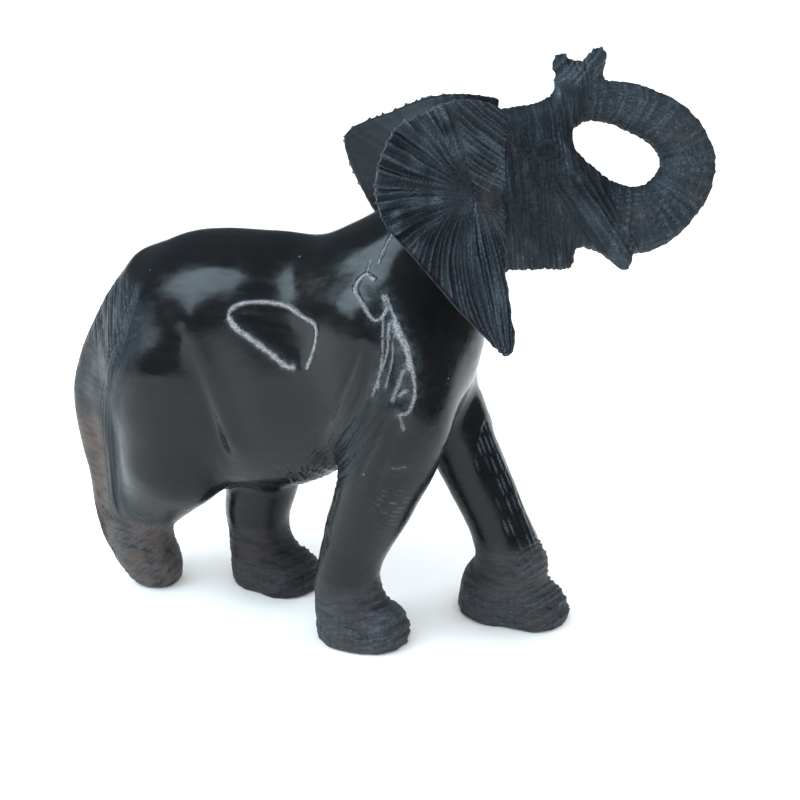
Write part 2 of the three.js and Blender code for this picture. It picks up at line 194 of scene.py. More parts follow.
def modified(mesh, kind, **settings):
    """A new mesh: the old one, which is used up, after one modifier."""
    rough = bpy.data.objects.new("rough", mesh)
    scene.collection.objects.link(rough)
    modifier = rough.modifiers.new("work", kind)
    for name, value in settings.items():
        setattr(modifier, name, value)
    evaluated = rough.evaluated_get(bpy.context.evaluated_depsgraph_get())
    result = bpy.data.meshes.new_from_object(evaluated)
    bpy.data.objects.remove(rough)
    bpy.data.meshes.remove(mesh)
    return result


def read(items, name, width, kind=float):
    """One row of values for each of a mesh's points or edges."""
    flat = np.zeros(len(items) * width, kind)
    items.foreach_get(name, flat)
    return flat.reshape(-1, width)


def points_of(mesh):
    return read(mesh.vertices, "co", 3) / MM


def normals_of(mesh):
    return read(mesh.vertices, "normal", 3)


def edges_of(mesh):
    return read(mesh.edges, "vertices", 2, int)


def set_points(mesh, points):
    mesh.vertices.foreach_set("co", (points * MM).ravel())
    mesh.update()


def neighbour_mean(values, edges, degree):
    a, b = edges.T
    total = np.empty_like(values)
    for axis in range(values.shape[1]):
        column = values[:, axis]
        total[:, axis] = np.bincount(a, column[b], len(values))
        total[:, axis] += np.bincount(b, column[a], len(values))
    return total / degree[:, None]


STEP_IN, STEP_OUT = 0.63, -0.66


def relax(mesh, passes, keep=None):
    """Smooths the facets away and keeps the volume: each pass is a step in and a step out.
    keep is 1 where the points stay as they are."""
    points = start = points_of(mesh)
    edges = edges_of(mesh)
    degree = np.bincount(edges.ravel(), minlength=len(points))
    for _ in range(passes):
        for step in (STEP_IN, STEP_OUT):
            points = points + step * (neighbour_mean(points, edges, degree) - points)
    if keep is not None:
        points += keep(start)[:, None] * (start - points)
    set_points(mesh, points)


def refine(mesh, wanted, cuts):
    """Cuts the edges whose two ends are wanted, each at so many places, and the faces by them."""
    chosen = wanted(points_of(mesh))
    fine = bmesh.new()
    fine.from_mesh(mesh)
    edges = [edge for edge in fine.edges if all(chosen[vert.index] for vert in edge.verts)]
    bmesh.ops.subdivide_edges(fine, edges=edges, cuts=cuts, use_grid_fill=True)
    bmesh.ops.triangulate(fine, faces=[face for face in fine.faces if len(face.verts) > 4])
    fine.to_mesh(mesh)
    fine.free()


FINISH = "finish"


def dress(name, node, mesh, material, finish):
    """Makes the piece, with its finish values [carved, vein, brown, chalk and painted highlight] on
    its points.
    """
    values = mesh.attributes.new(FINISH, "FLOAT_COLOR", "POINT")
    values.data.foreach_set("color", np.clip(np.stack(finish, 1), 0, 1).ravel())
    mesh.polygons.foreach_set("use_smooth", [True] * len(mesh.polygons))
    mesh.materials.clear()
    mesh.materials.append(material)
    piece = bpy.data.objects.new(name, mesh)
    scene.collection.objects.link(piece)
    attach(piece, "root")
    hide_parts(node)
    mesh.calc_loop_triangles()
    print(name, len(mesh.loop_triangles), "triangles")


def carve(mesh, height):
    """Moves the points along their normals by height in mm, and keeps the soles on z = 0."""
    points = points_of(mesh)
    height = height * ramp(points[:, 2], 0.1, 1.6)
    points = points + normals_of(mesh) * height[:, None]
    points[:, 2] = np.maximum(points[:, 2], 0)
    set_points(mesh, points)


# ---- body ----
# Lines on the body are [x, z], and follow the photograph. The worn pale ones are on the right side
# only. The wrinkles and the fold of the thigh are on both.
FLANK_LOOP = Line([-7.3, 101], [-10, 101], [-16, 104.5], [-22.5, 108], [-28, 111], [-30.5, 114.5],
                  [-27, 117.5], [-20, 119], [-11.5, 119], [-5.5, 117.3], [0.5, 116], [1.7, 113],
                  [0.6, 108], [-2, 102])
FLANK_LOWER = 27  # how much of the flank loop, from its start, is the broad lower strand
SHOULDER_LOOP = Line([18.5, 131.5], [15, 132.5], [13.2, 128.5], [17, 125], [22, 121], [24.7, 124],
                     [23, 127.5])
SHOULDER_EDGE = Line([23.7, 127.5], [28.7, 120.5], [32, 113.5], [33.7, 104], [34, 98], [32.5, 93],
                     [30, 92])
VEINS = (  # line, half width, strength
    (Line([22.5, 146], [20, 141], [18.5, 136]), 0.45, 0.8),
    (Line([15.5, 136], [15.4, 133]), 0.5, 0.7),
    (SHOULDER_LOOP, 0.65, 1),
    (SHOULDER_EDGE, 0.6, 1),
    (Line([27.5, 121], [31.5, 113], [32.8, 107]), 1.1, 1),
    (Line([30, 92], [31.3, 86.8]), 0.7, 0.5),
    (Line([24.2, 122], [25, 112], [23.6, 100.5]), 0.5, 0.8),
    (Line([26.2, 120.5], [26.4, 112], [24, 104], [21.7, 97.4]), 0.5, 0.8),
    (Line([28, 117], [27.8, 109], [26, 101]), 0.4, 0.7),
    (Line([31, 106], [28, 96.5]), 0.9, 0.6),
    (Line([32, 99.6], [29.8, 98]), 0.8, 0.7),
    (Line([27.4, 73.4], [31, 73.4]), 0.3, 0.6),
)
WRINKLES = (
    Line([22.3, 115], [17.8, 96.6], [3.8, 75.4], [-10.6, 59.5]),
    Line([24.5, 102.6], [19, 89], [2, 68.5], [-7.4, 60.4]),
    Line([20, 117.7], [13.4, 100.6], [3.5, 83.5], [-9.5, 68.5]),
    Line([27, 96.4], [22.8, 83], [14.5, 66.8]),
    Line([29.7, 90], [25.6, 76.4], [19.5, 61.2]),
    Line([17.2, 91.6], [6.7, 77], [-4.3, 63.5]),
)
THIGH_FOLD = (  # line, height, half width: a ridge, a valley and a crease
    (Line([-50.5, 107], [-49, 110.5], [-44, 110.5], [-42.3, 104], [-37.5, 92], [-33.2, 77.7],
          [-31, 62]), 1.2, 4.4),
    (Line([-46, 104], [-40.6, 90.6], [-37.4, 74.3], [-37.9, 56.3]), -1.2, 3.2),
    (Line([-40, 63], [-44.8, 48]), -0.6, 1.0),
)
# the tail is behind this line, on its right
TAIL_EDGE = Line([-66, 119], [-69.3, 107.5], [-71.6, 94.8], [-82.6, 68], [-83.9, 44.6], [-80, 32],
                 [-74, 28])
LEFT_SHIFT = 9  # the left shoulder's wrinkles lie this much further forward

FEET = (  # middle x, y, the height of the carved part, and how pale it is: dust, and painted highlight on the crests of its cuts
    (9.0, -13.7, 22, 0.95),  # near front
    (52.0, 21.8, 30, 0.8),  # far front
    (-37.0, 8.3, 24, 0.3),  # far hind
)
FOOT_RADIUS = 13  # radius at which cuts round a foot keep their size
# the glossy panel of the far front leg is in front of this line, on its left
LEG_PANEL = Line([41.3, 68], [41.3, 59.8], [45.3, 54.8], [47.7, 48.6], [50.5, 43.6], [51.6, 38.1],
                 [55.9, 32.5], [58.1, 28.2])


def one_foot(x, y, z, foot_x, foot_y, top):
    """1 in the carved part of one of FEET, and smooth to 0 round it."""
    return ramp(np.hypot(x - foot_x, y - foot_y), 30, 24) * ramp(z, top + 4, top - 3)


def foot_zone(x, y, z):
    """1 in the carved part of any foot, the near hind one with them."""
    zone = ramp(x, -62, -66) * ramp(z, 36, 30)
    for foot_x, foot_y, top, _ in FEET:
        zone = np.maximum(zone, one_foot(x, y, z, foot_x, foot_y, top))
    return zone


def tail_zone(x, z):
    """1 on the tail, and smooth to 0 at its edge and its root."""
    _, _, side = TAIL_EDGE.measure(x, z)
    return ramp(-side, -1, 2) * ramp(z, 121, 112)


def fine_on_body(points):
    """Where the body's cuts need a finer mesh. The flat soles do not."""
    x, y, z = points.T
    loop, _, _ = FLANK_LOOP.measure(x, z)
    right = y < 0
    shoulder = right & (x > 8) & (x < 38) & (z > 86) & (z < 148)
    _, _, side = WRINKLES[0].measure(x, z)
    wrinkles = (side > -4) & (side < 16) & (x > -20) & (z > 54) & (z < 98) & (y < -8)
    belly = (x > -20) & (x < 4) & (z > 52) & (z < 66) & (y < -8)
    scratched = right & (x > 16) & (x < 34) & (z > 44) & (z < 76) & (y < -12)
    far_leg = (x > 38) & (y > 4) & (z > 26) & (z < 74)
    worn = scratched | far_leg | (right & (loop < 3)) | shoulder | wrinkles | belly
    return worn | (foot_zone(x, y, z) * (z > 0.4) > 0.02) | (tail_zone(x, z) > 0.02)


def head_joint(points):
    """1 on the flat neck joint, 0 from 3 mm off it."""
    off = np.abs((to_head(points) - NECK_POINT) @ NECK_NORMAL)
    return ramp(off, 3, 0.8)


def carve_body(mesh):
    points, normals = points_of(mesh), normals_of(mesh)
    x, y, z = points.T
    right = ramp(-normals[:, 1], 0, 0.3) * ramp(y, 2, -3)
    left = ramp(normals[:, 1], 0, 0.3) * ramp(y, -1, 4)
    height = 0.5 * (field(x / 17, y / 17, z / 17) - 0.5)
    carved = 0.06 * field(x / 9, y / 9, z / 9)
    vein = np.zeros(len(x))
    brown = np.zeros(len(x))
    chalk_and_highlight = np.zeros(len(x))

    def worn_through(off, reach):
        """Where a worn line is pale: in patches, and mostly down its middle."""
        return ramp(field(x / 0.9, y / 0.9, z / 0.9) + 0.6 * ramp(off, reach, 0), 0.35, 0.8)

    # the hip bone, and the crest of the flank and shoulder with a hollow above it
    sides = right + left
    upright = ramp(np.abs(normals[:, 1]), 0.3, 0.85)
    height += 2.6 * upright * ramp(x, -80, -36) * ramp(x, -10, -31) * hump(z - 121, 17)
    height += 2.0 * sides * band(x, -26, 12, 9) * hump(z - 88, 16)
    above = np.maximum(z - 118 - 5 * ramp(x, -8, 6), 0)
    crest = sides * band(x, 2, 18, 9) * ramp(z, 82, 110)
    height += crest * (1.3 * hump(above, 6) - 0.7 * hump(above - 12, 5))

    # the flank loop: a worn ridge round a shallow pool
    off, along, side = FLANK_LOOP.measure(x, z)
    lower = along < FLANK_LOWER
    pool = right * ramp(side, 0, -6) * band(x, -30, 2, 2) * band(z, 101, 119, 2)
    reach = np.where(lower, 1.35, 0.75) * (0.55 + 0.9 * field(along / 2, 3.5, 0.5))
    strand = right * ramp(off, reach, 0.2 * reach)
    height += 0.4 * strand - 0.8 * pool
    halo = 0.3 * right * hump(off, 1.6) * np.where(lower, 1, 0.4)
    chalk_and_highlight += halo * field(x / 1.5, y / 1.5, z / 1.5)
    vein += strand * worn_through(off, reach)
    carved = np.maximum(carved, 0.7 * right * hump(off, 2.2) * lower)

    # worn lines on the shoulder
    for seed, (line, width, strength) in enumerate(VEINS):
        off, along, _ = line.measure(x, z)
        reach = width * (0.4 + 1.2 * field(along / 2, seed + 0.5, 7.5))
        strand = strength * right * ramp(off, reach, 0.2 * reach)
        height += 0.25 * strand
        vein = np.maximum(vein, strand * worn_through(off, reach))
        halo = 0.6 * strength * width * right * hump(off, 2)
        chalk_and_highlight += halo * field(x / 1.3, y / 1.3, z / 1.3)
    off, _, side = SHOULDER_EDGE.measure(x, z)
    height -= 0.9 * right * hump(side + 4, 3) * band(z, 95, 122, 3)

    # wrinkles that run from each shoulder back into the armpit
    for seed, line in enumerate(WRINKLES):
        for mask, shift in ((right, 0), (left, LEFT_SHIFT)):
            off, along, _ = line.measure(x - shift, z)
            fade = band(along / line.length, 0.12, 0.9, 0.1)
            groove = mask * fade * hump(off, 0.9 + 0.5 * field(along / 6, seed + 0.5, 2.5))
            height -= 0.6 * groove
            carved = np.maximum(carved, 0.35 * groove)

    # fine cuts between the right side's, fanning down to the belly
    _, along, side = WRINKLES[0].measure(x, z)
    fan = right * band(side, -2, 13, 2.5) * band(along / WRINKLES[0].length, 0.2, 0.95, 0.12)
    cuts = gouges(side * (1 + 0.012 * (along - 30)), along, 1.7, 11, 25)
    height += 0.55 * fan * (cuts - LEVEL)
    carved = np.maximum(carved, 0.35 * fan)
    # painted highlight along the crests between these cuts
    chalk_and_highlight += 0.2 * fan * cuts ** 5 * field(x / 2, y / 2, z / 2)

    # the fold of the thigh
    for mask in (right, left):
        for line, rise, width in THIGH_FOLD:
            off, along, _ = line.measure(x, z)
            height += rise * mask * hump(off, width) * band(along / line.length, 0.1, 0.9, 0.12)

    # short cuts along the belly's lower edge, on the right
    cuts = gouges(x, z, 2.3, 4, 20)
    height += 0.7 * band(x, -20, 2, 3) * right * ramp(z, 64, 58) * ramp(z, 34, 40) * (cuts - LEVEL)

    # tail: hatched at its root, long cuts beside the thigh, a slanted tuft and a border in front
    tail = tail_zone(x, z)
    off, along, side = TAIL_EDGE.measure(x, z)
    beside = tail * ramp(off, 9, 3) * ramp(z, 28, 40)
    long_cuts = gouges(off, along, 1.7, 16, 21)
    root = tail * ramp(z, 88, 98)
    hatch = gouges(x * 0.8 + z * 0.6, x * 0.6 - z * 0.8, 1.6, 7, 22)
    around = 9 * np.arctan2(y + 6, x + 98)
    hind_foot = ramp(x, -93, -89) * ramp(z, 30, 26)
    tuft = tail * ramp(z, 36, 28) * (1 - hind_foot)
    strokes = gouges(x * 0.62 + z * 0.78 + 0.3 * around, x * 0.78 - z * 0.62, 1.9, 14, 23)
    rings = gouges(z, around, 2.6, 8, 24)
    height += (0.5 * beside * (long_cuts - LEVEL) + 0.3 * root * (hatch - LEVEL)
               + 0.6 * tuft * (strokes - LEVEL))
    height += 0.1 * tail * (1 - tuft) * (rings - LEVEL)
    height -= 0.7 * hump(side, 1.3) * band(z, 34, 108, 4) * right
    carved = np.maximum(carved, tail * (0.3 + 0.35 * field(x / 5, y / 5, z / 5)))
    carved = np.maximum(carved, tuft)
    border = ramp(side, 13, 2) * (side > -3) * band(z, 34, 112, 5)
    border_cuts = gouges(side, along, 1.9, 12, 26)
    height += 0.3 * border * (1 - tail) * (border_cuts - LEVEL)
    carved = np.maximum(carved, 0.75 * border)
    # painted highlight along the crests of the border's, the tail's and the tuft's cuts
    chalk_and_highlight += 0.25 * border * (1 - tail) * border_cuts ** 4
    chalk_and_highlight += 0.5 * beside * long_cuts ** 3 + 0.5 * root * hatch ** 3 + 0.4 * tuft * strokes ** 3
    brown += tail * band(z, 20, 66, 10) * ramp(x, -84, -92)

    # feet: rings and dashes round them, broad facets at the toes
    feet = foot_zone(x, y, z)
    for seed, (foot_x, foot_y, top, dust) in enumerate(FEET):
        zone = one_foot(x, y, z, foot_x, foot_y, top)
        around = FOOT_RADIUS * np.arctan2(y - foot_y, x - foot_x)
        toe = zone * ramp(x - foot_x, 3, 8)
        heel = zone * ramp(foot_x - x, 6, 11)
        rings = gouges(z + 0.05 * around, around, 1.4, 5, 31 + seed)
        facets = gouges(z * 0.8 - x * 0.6 + 0.2 * around, x * 0.8 + z * 0.6, 2.4, 6, 35 + seed)
        dashes = nicks(z, around, 1.4, 2.6, 0.9, 2.2, 38 + seed) * ramp(z, 16, 9)
        height += ((0.2 * zone + 0.3 * heel) * (rings - LEVEL) + 0.9 * toe * (facets - LEVEL)
                   - 0.4 * zone * dashes)
        # painted highlight on the crests of the toe facets and the rings; the even pale tone is
        # dust and the dashes are pale marks
        toe_highlight = 0.8 * toe * facets ** 5 * field(x / 2, y / 2, z / 2)
        chalk_and_highlight += dust * zone * (0.12 + 0.2 * rings ** 4 + 0.4 * dashes + toe_highlight)
    hind = ramp(x, -62, -66) * ramp(z, 34, 28) * (1 - tuft)
    strokes = gouges(z * 0.8 - x * 0.6 - 0.3 * y, x * 0.8 + z * 0.6, 1.8, 3, 41)
    height += 0.3 * hind * (strokes - LEVEL)
    # an even pale tone, and painted highlight on the crests of the strokes
    chalk_and_highlight += hind * (0.12 + 0.4 * strokes ** 3)
    brown = np.maximum(brown, np.maximum(hind + 0.5 * tuft, 0.35 * feet))
    carved = np.maximum(carved, feet * (0.6 + 0.4 * field(x / 3, y / 3, z / 3)))

    # the far front leg: a glossy panel with a wavy border, and slanted nicks
    leg = ramp(y, 3, 8) * band(z, 26, 74, 4) * ramp(x, 28, 34)
    _, _, side = LEG_PANEL.measure(x, z)
    front = leg * ramp(side, -0.6, 0.6)
    height -= 0.35 * front
    carved = np.maximum(carved, 0.32 * leg * (1 - front) * right)
    slant = nicks(x * 0.8 + z * 0.35 + y * 0.5, z, 2.0, 7, 0.8, 7, 44) * front
    height -= 0.35 * slant
    chalk_and_highlight += 0.7 * slant

    # scratches on the near front leg
    worn = right * hump(np.hypot((x - 25.5) / 5, (z - 58) / 9), 1) * (y < -12)
    scratches = nicks(z + 0.6 * x, x - 0.6 * z, 2.3, 4.1, 0.6, 3, 45) * worn
    height -= 0.15 * scratches
    chalk_and_highlight += 0.8 * scratches

    # legs are worn duller than the back
    carved = np.maximum(carved, 0.16 * ramp(z, 90, 50))
    carve(mesh, height)
    dress("carved_body", "body", mesh, polished_wood,
          (carved, vein, brown, chalk_and_highlight))


# ---- head ----
# Lines on the head are [u, v].
TRUNK = Line([24, 3.2], [30, 1.2], [36, -0.6], [48.5, -2], [58, 4.2], [62.3, 14], [57.7, 24.3],
             [46.2, 31], [37, 33.4], [28.5, 34.3])
TRUNK_ROUND = 9  # radius at which cuts round the trunk keep their size
TRUNK_REACH = (0, 60, 120), (13.5, 12, 9)  # places along it, and how far off its line the cuts go
SHEATH = Line([25, 12], [33, 0], [42, -13])
EYE = (17.5, 20.0)


def carve_head(mesh):
    u, w, v = to_head(points_of(mesh)).T
    off, along, side = TRUNK.measure(u, v)
    around = TRUNK_ROUND * np.arctan2(w, side)
    trunk = ramp(along, 11, 20) * ramp(TRUNK.length - along, 0, 4)
    trunk *= ramp(off - np.interp(along, *TRUNK_REACH), 1.5, -0.5)
    tip = ramp(v, 37, 40) * ramp(u, 42, 38)
    sheath_off, sheath_along, sheath_side = SHEATH.measure(u, v)
    sheath = ramp(sheath_off, 9, 5) * ramp(np.abs(w), 3, 8) * ramp(v, 15, 10) * (u > 20)
    eye_u, eye_v = u - EYE[0], v - EYE[1]
    eye = np.hypot(eye_u / 3.4, (eye_v - 0.25 * eye_u) / 2.1) + 4 * ramp(np.abs(w), 11, 8)
    face = (1 - trunk) * (1 - sheath) * (1 - 0.85 * ramp(eye, 2.1, 1.3))
    # the cheek and the brow are nearly smooth
    cheek = hump(np.hypot(u - 15, v - 2), 9)
    cheek = np.maximum(cheek, hump(np.hypot((u - 12) / 7, (v - 29) / 4), 1))

    height = 0.5 * (field(u / 9, w / 9, v / 9) - 0.5)
    brow = 0.9 * hump(np.hypot((u - 12) / 6, (v - 29) / 3), 1)
    height += brow - 0.5 * hump(np.hypot((u - 13) / 6, v - 24.5), 1.2)
    rings = gouges(along, around, 2.9, 9, 51)
    cuts = nicks(around, along + 0.5, 1.7, 2.9, 1.0, 2.3, 52)
    height += trunk * (1 - tip) * (0.45 * (rings - LEVEL) - 0.6 * cuts)
    lines = gouges(u + 0.12 * v, v, 1.35, 6, 53)
    height += 0.7 * face * (1 - 0.8 * cheek) * (lines - LEVEL)
    ridges = gouges(sheath_side, sheath_along, 2.0, 12, 54)
    height += 0.95 * sheath * (ridges - LEVEL)
    slants = gouges(u * 0.75 - v * 0.65, u * 0.65 + v * 0.75, 1.8, 6, 55)
    height += 0.65 * tip * (slants - LEVEL)
    saw = gouges(u, w, 1.3, 4, 56)
    jaw = face * ramp(v, -12, -16) * ramp(u, 8, 12)
    height += 0.5 * jaw * (saw - LEVEL)

    # small sunken eyes under a lid
    height += 0.6 * hump(eye - 1.15, 0.3) - 0.6 * hump(eye, 0.75) + 0.7 * hump(eye, 0.42)

    # the pale chips in the trunk's nicks and the even pale tone are the wood's own; the crests of
    # the rings, face lines, sheath ridges and slants, and the lid round each eye, get painted
    # highlight
    chalk_and_highlight = trunk * (1 - tip) * (0.45 * cuts + 0.5 * rings ** 4 * field(u / 2, w / 2, v / 2))
    chalk_and_highlight += face * (1 - 0.7 * cheek) * 1.3 * lines ** 5 * field(u / 2, w / 3, v / 4) ** 2
    chalk_and_highlight += 0.6 * sheath * ridges ** 5 * field(u / 3, w / 3, v / 3) + 0.6 * tip * slants ** 4
    chalk_and_highlight += 0.12 * hump(eye - 1.15, 0.25) + 0.15 * trunk + 0.06 * face
    carved = 0.75 + 0.25 * field(u / 3, w / 3, v / 3) - 0.5 * hump(eye, 0.5)
    brown = 0.2 * trunk * ramp(field(u / 8, w / 8, v / 8), 0.55, 0.8)
    carve(mesh, height)
    dress("carved_head", "head", mesh, cut_wood,
          (carved, np.zeros(len(u)), brown, chalk_and_highlight))


# ---- ears ----
EAR_HUB = (-4.0, 8.0)
EAR_TIP = (6.0, -42.0)
# a smooth strip along the ear's lower rear edge is behind this line, on its right
EAR_STRIP = Line([-30, 1], [-23.5, -6.6], [-14, -17], [-7, -26], [-0.9, -32.8])


def carve_ear(mesh, node, side):
    """side is -1 for the right ear and 1 for the left one."""
    u, w, v = to_head(points_of(mesh)).T
    outward = side * (normals_of(mesh) @ HEAD_AXES)[:, 1]
    outer = ramp(outward, -0.25, 0.25)
    du, dv = u - EAR_HUB[0], v - EAR_HUB[1]
    reach = np.hypot(du, dv)
    turn = np.degrees(np.arctan2(dv, -du))  # 0 to the rear, 90 up, -90 down
    fan = ramp(turn, -28, -48) * ramp(np.abs(turn), 150, 140)
    front_top = ramp(turn, 68, 84) * ramp(turn, 178, 160)
    ribs_zone = (1 - fan) * (1 - front_top) * ramp(reach, 5, 13)
    bend = 5 * field(reach / 9, turn / 30, 3.5)
    ribs = gouges(turn + bend, reach, 5.6, 9, 61)
    finer = gouges((turn + bend) * 0.5, reach, 1.1, 6, 62)
    tip_u, tip_v = u - EAR_TIP[0], v - EAR_TIP[1]
    tip_reach = np.hypot(tip_u, tip_v)
    # arcs that leave the hub and meet again at the tip
    arcs = np.degrees(np.arctan2(dv * tip_u - du * tip_v, du * tip_u + dv * tip_v)) % 360
    curves = gouges(arcs, tip_reach, 5.5, 14, 63)
    slants = gouges(u * 0.6 + v * 0.8, u * 0.8 - v * 0.6, 1.5, 8, 64)
    cross = gouges(u * 0.8 - v * 0.6, u * 0.6 + v * 0.8, 1.9, 5, 65)
    _, _, strip_side = EAR_STRIP.measure(u, v)
    strip = ramp(strip_side, 0.2, -0.2) * ramp(v, 3, -4) * ramp(v, -36, -33)
    cut_face = outer * (1 - strip)

    height = 0.5 * (field(u / 8, w / 8, v / 8) - 0.5)
    rib_height = 0.7 + ramp(reach, 12, 26)
    height += cut_face * ribs_zone * (rib_height * (ribs - LEVEL) + 0.4 * (finer - LEVEL))
    height += cut_face * fan * ramp(reach, 3, 9) * (curves - LEVEL)
    height += cut_face * front_top * (0.55 * (slants - LEVEL)
                                      + 0.3 * ramp(reach, 15, 9) * (cross - LEVEL))
    height -= 1.6 * cut_face * hump(reach, 5)
    height -= outer * hump(np.hypot((du - 2.5) / 1.1, (dv + 1) / 2.6), 1.6)
    height -= 0.7 * outer * hump(strip_side - 0.3, 0.7) * ramp(v, 3, -4) * ramp(v, -36, -33)
    inner_ribs = gouges(turn, reach, 7.5, 14, 66)
    height += (1 - outer) * 0.12 * (inner_ribs - LEVEL) * ramp(reach, 18, 28)

    # painted highlight on the crests of the ribs, arcs and slants and along the ear's rim; the
    # patches over the outer face are pale chalk
    chalk_and_highlight = cut_face * ribs_zone * (0.9 * ribs ** 5 + 0.5 * finer ** 5) * field(u / 3, w / 5, v / 3)
    chalk_and_highlight += cut_face * fan * 1.2 * curves ** 5 * field(arcs / 9, tip_reach / 9, 0.5)
    chalk_and_highlight += cut_face * front_top * (0.6 * slants ** 5 + 0.2 * ramp(reach, 15, 9) * cross ** 5)
    chalk_and_highlight += outer * 0.15 * ramp(field(u / 7, w / 7, v / 7), 0.4, 0.8) + 0.5 * hump(outward, 0.3)
    brown = 0.35 * outer * hump(np.hypot((du - 3) / 1.3, (dv + 3) / 3.5), 1.6)
    carved = 0.6 + 0.15 * outer + 0.25 * outer * field(u / 3, w / 3, v / 3)
    carve(mesh, height)
    dress("carved_" + node, node, mesh, cut_wood,
          (carved, np.zeros(len(u)), brown, chalk_and_highlight))


# ---- materials ----
POLISH = (0.0055, 0.0062, 0.0068, 1)
POLISH_WARM = (0.0085, 0.0080, 0.0078, 1)
CUT_DARK = (0.003, 0.0055, 0.009, 1)
CUT_PALE = (0.013, 0.020, 0.029, 1)
# pale chalk, and painted highlight on the crests of cuts and the rims of the ears
CHALK_AND_HIGHLIGHT = (0.105, 0.140, 0.165, 1)
BROWN = (0.068, 0.044, 0.034, 1)
VEIN = (0.31, 0.30, 0.31, 1)
VEIN_SHADE = (0.07, 0.07, 0.075, 1)
DOWEL_DARK = (0.30, 0.19, 0.10, 1)
DOWEL_PALE = (0.46, 0.32, 0.18, 1)


class Graph:
    """Short ways to build a shader's nodes. Every texture is on the object's own coordinates."""

    def __init__(self, name):
        self.material = bpy.data.materials.new(name)
        self.material.use_nodes = True
        self.tree = self.material.node_tree
        self.shader = self.tree.nodes["Principled BSDF"]
        self.coordinates = self.add("ShaderNodeTexCoord").outputs["Object"]

    def add(self, kind, **settings):
        node = self.tree.nodes.new(kind)
        for name, value in settings.items():
            setattr(node, name, value)
        return node

    def link(self, value, socket):
        if isinstance(value, bpy.types.NodeSocket):
            self.tree.links.new(value, socket)
        else:
            socket.default_value = value

    def noise(self, scale, detail=3, stretch=(1, 1, 1)):
        """Noise from 0 to 1 with about scale swells to the metre."""
        mapping = self.add("ShaderNodeMapping")
        mapping.inputs["Scale"].default_value = stretch
        self.link(self.coordinates, mapping.inputs["Vector"])
        texture = self.add("ShaderNodeTexNoise")
        texture.inputs["Scale"].default_value = scale
        texture.inputs["Detail"].default_value = detail
        self.link(mapping.outputs[0], texture.inputs["Vector"])
        return texture.outputs["Fac"]

    def steps(self, value, low, high, out_low=0, out_high=1):
        """Smooth from out_low, where the value is low, to out_high, where it is high."""
        node = self.add("ShaderNodeMapRange", interpolation_type="SMOOTHSTEP")
        for socket, number in zip(node.inputs, (value, low, high, out_low, out_high)):
            self.link(number, socket)
        return node.outputs[0]

    def times(self, a, b):
        node = self.add("ShaderNodeMath", operation="MULTIPLY")
        self.link(a, node.inputs[0])
        self.link(b, node.inputs[1])
        return node.outputs[0]

    def blend(self, amount, a, b):
        """a where amount is 0, b where it is 1."""
        node = self.add("ShaderNodeMix", data_type="RGBA")
        self.link(amount, node.inputs[0])
        self.link(a, node.inputs[6])
        self.link(b, node.inputs[7])
        return node.outputs[2]

    def between(self, amount, a, b):
        """As blend, for plain numbers."""
        node = self.add("ShaderNodeMix", data_type="FLOAT")
        self.link(amount, node.inputs[0])
        self.link(a, node.inputs[2])
        self.link(b, node.inputs[3])
        return node.outputs[0]


def hardwood(name):
    """Dark hardwood whose finish values say where it is tool-cut, worn pale and brown, and where it
    is pale with chalk and with painted highlight on crests and rims.
    """
    graph = Graph(name)
    finish = graph.add("ShaderNodeAttribute", attribute_name=FINISH)
    parts = graph.add("ShaderNodeSeparateColor")
    graph.link(finish.outputs["Color"], parts.inputs[0])
    carved, vein, brown = parts.outputs
    chalk_and_highlight = finish.outputs["Alpha"]

    fine = graph.noise(1500, 4)
    grit = graph.noise(2600, 2)
    cloud = graph.noise(120, 3)
    grain = graph.noise(420, 3, (0.25, 1, 1))
    dust = graph.add("ShaderNodeTexVoronoi")
    dust.inputs["Scale"].default_value = 95
    graph.link(graph.coordinates, dust.inputs["Vector"])
    speck = graph.steps(dust.outputs["Distance"], 0.045, 0.025)
    chance = graph.add("ShaderNodeSeparateColor")
    graph.link(dust.outputs["Color"], chance.inputs[0])
    speck = graph.times(speck, graph.steps(chance.outputs[0], 0.5, 0.52))

    colour = graph.blend(graph.steps(cloud, 0.4, 0.75), POLISH, POLISH_WARM)
    cut = graph.blend(graph.steps(fine, 0.35, 0.7), CUT_DARK, CUT_PALE)
    colour = graph.blend(carved, colour, cut)
    colour = graph.blend(graph.times(brown, graph.steps(grain, 0.25, 0.6)), colour, BROWN)
    # chalk, and painted highlight where the finish values put it on crests and rims
    chalky_and_highlit = graph.times(chalk_and_highlight, graph.steps(grit, 0.3, 0.62))
    colour = graph.blend(chalky_and_highlit, colour, CHALK_AND_HIGHLIGHT)
    colour = graph.blend(graph.times(speck, 0.7), colour, CHALK_AND_HIGHLIGHT)
    worn = graph.blend(graph.steps(grit, 0.35, 0.6), VEIN_SHADE, VEIN)
    colour = graph.blend(vein, colour, worn)
    graph.link(colour, graph.shader.inputs["Base Color"])

    graph.shader.inputs["Specular IOR Level"].default_value = 0.28
    smear = graph.steps(grain, 0.3, 0.75, 0.13, 0.27)
    rough = graph.between(carved, smear, graph.steps(fine, 0.3, 0.7, 0.55, 0.8))
    graph.link(graph.between(vein, rough, 0.7), graph.shader.inputs["Roughness"])

    bump = graph.add("ShaderNodeBump")
    bump.inputs["Distance"].default_value = 0.12 * MM
    graph.link(graph.between(carved, 0.03, graph.between(vein, 0.9, 1.0)), bump.inputs["Strength"])
    graph.link(fine, bump.inputs["Height"])
    wave = graph.add("ShaderNodeBump")
    wave.inputs["Strength"].default_value = 0.5
    wave.inputs["Distance"].default_value = 0.25 * MM
    graph.link(cloud, wave.inputs["Height"])
    graph.link(wave.outputs[0], bump.inputs["Normal"])
    graph.link(bump.outputs[0], graph.shader.inputs["Normal"])
    return graph.material


